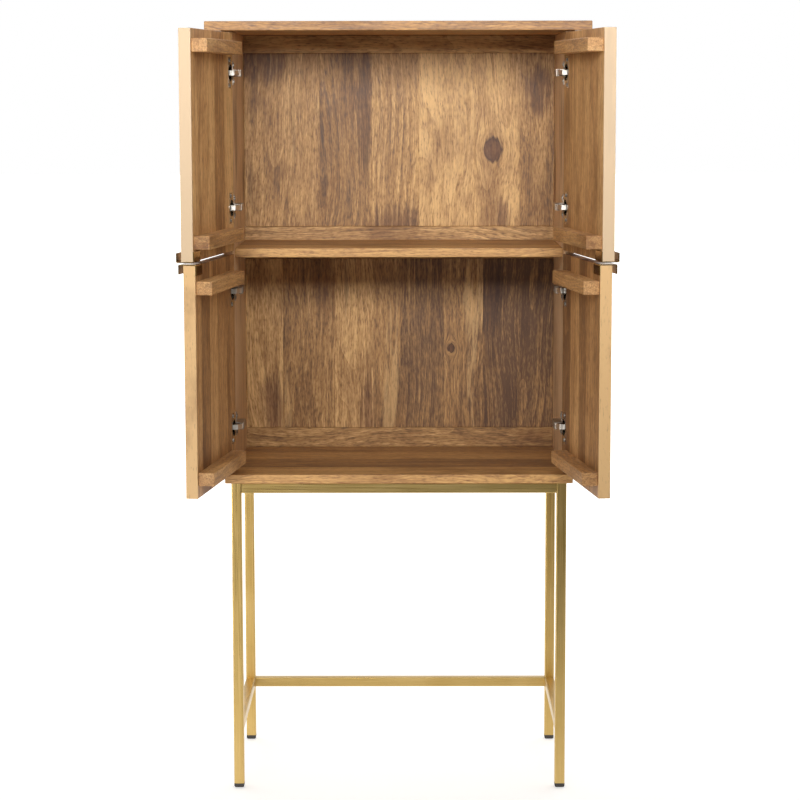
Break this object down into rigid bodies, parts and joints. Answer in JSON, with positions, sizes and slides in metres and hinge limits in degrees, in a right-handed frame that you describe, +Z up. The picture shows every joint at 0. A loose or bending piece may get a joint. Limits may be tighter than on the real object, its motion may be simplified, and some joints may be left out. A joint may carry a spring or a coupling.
{
  "type": "bar cabinet",
  "caption": "Tall wooden bar cabinet on a slim brass-finished square-tube stand, with hinged doors standing open over a shelved interior, battened doors and bent-plate handles.",
  "frame": {"origin": "on the floor, under the middle of the object's box with its doors open as in the picture", "axes": "+Z up, the open front faces -Y, +X to the right seen from the front"},
  "size_m": [0.809, 0.7194, 1.524],
  "materials": {
    "mango_board": "satin oiled",
    "mango_back": "satin oiled",
    "mango_door": "satin oiled",
    "mango_batten": "satin oiled",
    "satin_brass": "satin",
    "nickel_steel": "satin nickel",
    "zinc_steel": "bright zinc",
    "black_plastic": "matte"
  },
  "bodies": {
    "cabinet": {"back_bottom_rail": "mango_back", "back_left_leg": "satin_brass", "back_middle_rail": "mango_back", "back_right_leg": "satin_brass", "back_stretcher": "satin_brass", "back_top_rail": "mango_back", "bottom_panel": "mango_board", "foot_caps": "black_plastic", "front_left_leg": "satin_brass", "front_right_leg": "satin_brass", "hinge_arm_pins": "zinc_steel", "hinge_arms": "nickel_steel", "hinge_mounting_plates": "nickel_steel", "left_side_panel": "mango_board", "left_stretcher": "satin_brass", "lower_back_planks": "mango_back", "middle_shelf": "mango_board", "mounting_plate_screws": "zinc_steel", "right_side_panel": "mango_board", "right_stretcher": "satin_brass", "stand_back_rail": "satin_brass", "stand_bolts": "zinc_steel", "stand_front_rail": "satin_brass", "stand_left_rail": "satin_brass", "stand_right_rail": "satin_brass", "top_panel": "mango_board", "upper_back_planks": "mango_back"},
    "upper_left_links": {"upper_left_door_hinge_links": "nickel_steel"},
    "upper_left_door": {"upper_left_door_bottom_batten": "mango_batten", "upper_left_door_cup_pins": "zinc_steel", "upper_left_door_cup_screws": "zinc_steel", "upper_left_door_handle": "satin_brass", "upper_left_door_hinge_cups": "nickel_steel", "upper_left_door_panel": "mango_door", "upper_left_door_top_batten": "mango_batten"},
    "upper_right_links": {"upper_right_door_hinge_links": "nickel_steel"},
    "upper_right_door": {"upper_right_door_bottom_batten": "mango_batten", "upper_right_door_cup_pins": "zinc_steel", "upper_right_door_cup_screws": "zinc_steel", "upper_right_door_handle": "satin_brass", "upper_right_door_hinge_cups": "nickel_steel", "upper_right_door_panel": "mango_door", "upper_right_door_top_batten": "mango_batten"},
    "lower_left_links": {"lower_left_door_hinge_links": "nickel_steel"},
    "lower_left_door": {"lower_left_door_bottom_batten": "mango_batten", "lower_left_door_cup_pins": "zinc_steel", "lower_left_door_cup_screws": "zinc_steel", "lower_left_door_handle": "satin_brass", "lower_left_door_hinge_cups": "nickel_steel", "lower_left_door_panel": "mango_door", "lower_left_door_top_batten": "mango_batten"},
    "lower_right_links": {"lower_right_door_hinge_links": "nickel_steel"},
    "lower_right_door": {"lower_right_door_bottom_batten": "mango_batten", "lower_right_door_cup_pins": "zinc_steel", "lower_right_door_cup_screws": "zinc_steel", "lower_right_door_handle": "satin_brass", "lower_right_door_hinge_cups": "nickel_steel", "lower_right_door_panel": "mango_door", "lower_right_door_top_batten": "mango_batten"}
  },
  "joints": [
    {"name": "upper_left_links_turn", "type": "hinge", "parent": "cabinet", "child": "upper_left_links", "pos_m": [-0.3115, -0.01584, 1.2945], "axis": [0, 0, 1], "range_deg": [-34.28, 4.27]},
    {"name": "upper_left_door_swing", "type": "hinge", "parent": "upper_left_links", "child": "upper_left_door", "pos_m": [-0.32676, -0.03131, 1.2945], "axis": [0, 0, 1], "range_deg": [-15.47, 132.48]},
    {"name": "upper_right_links_turn", "type": "hinge", "parent": "cabinet", "child": "upper_right_links", "pos_m": [0.3115, -0.01584, 1.2945], "axis": [0, 0, -1], "range_deg": [-34.28, 4.27]},
    {"name": "upper_right_door_swing", "type": "hinge", "parent": "upper_right_links", "child": "upper_right_door", "pos_m": [0.32676, -0.03131, 1.2945], "axis": [0, 0, -1], "range_deg": [-15.47, 132.48]},
    {"name": "lower_left_links_turn", "type": "hinge", "parent": "cabinet", "child": "lower_left_links", "pos_m": [-0.3115, -0.01584, 0.8665], "axis": [0, 0, 1], "range_deg": [-34.04, 4.51]},
    {"name": "lower_left_door_swing", "type": "hinge", "parent": "lower_left_links", "child": "lower_left_door", "pos_m": [-0.32682, -0.03125, 0.8665], "axis": [0, 0, 1], "range_deg": [-16.41, 131.54]},
    {"name": "lower_right_links_turn", "type": "hinge", "parent": "cabinet", "child": "lower_right_links", "pos_m": [0.3115, -0.01584, 0.8665], "axis": [0, 0, -1], "range_deg": [-34.04, 4.51]},
    {"name": "lower_right_door_swing", "type": "hinge", "parent": "lower_right_links", "child": "lower_right_door", "pos_m": [0.32682, -0.03125, 0.8665], "axis": [0, 0, -1], "range_deg": [-16.41, 131.54]}
  ],
  "couplings": [
    {"joint": "upper_left_links_turn", "follows": "upper_left_door_swing", "ratio": -0.25651},
    {"joint": "upper_right_links_turn", "follows": "upper_right_door_swing", "ratio": -0.25651},
    {"joint": "lower_left_links_turn", "follows": "lower_left_door_swing", "ratio": -0.25651},
    {"joint": "lower_right_links_turn", "follows": "lower_right_door_swing", "ratio": -0.25651}
  ]
}
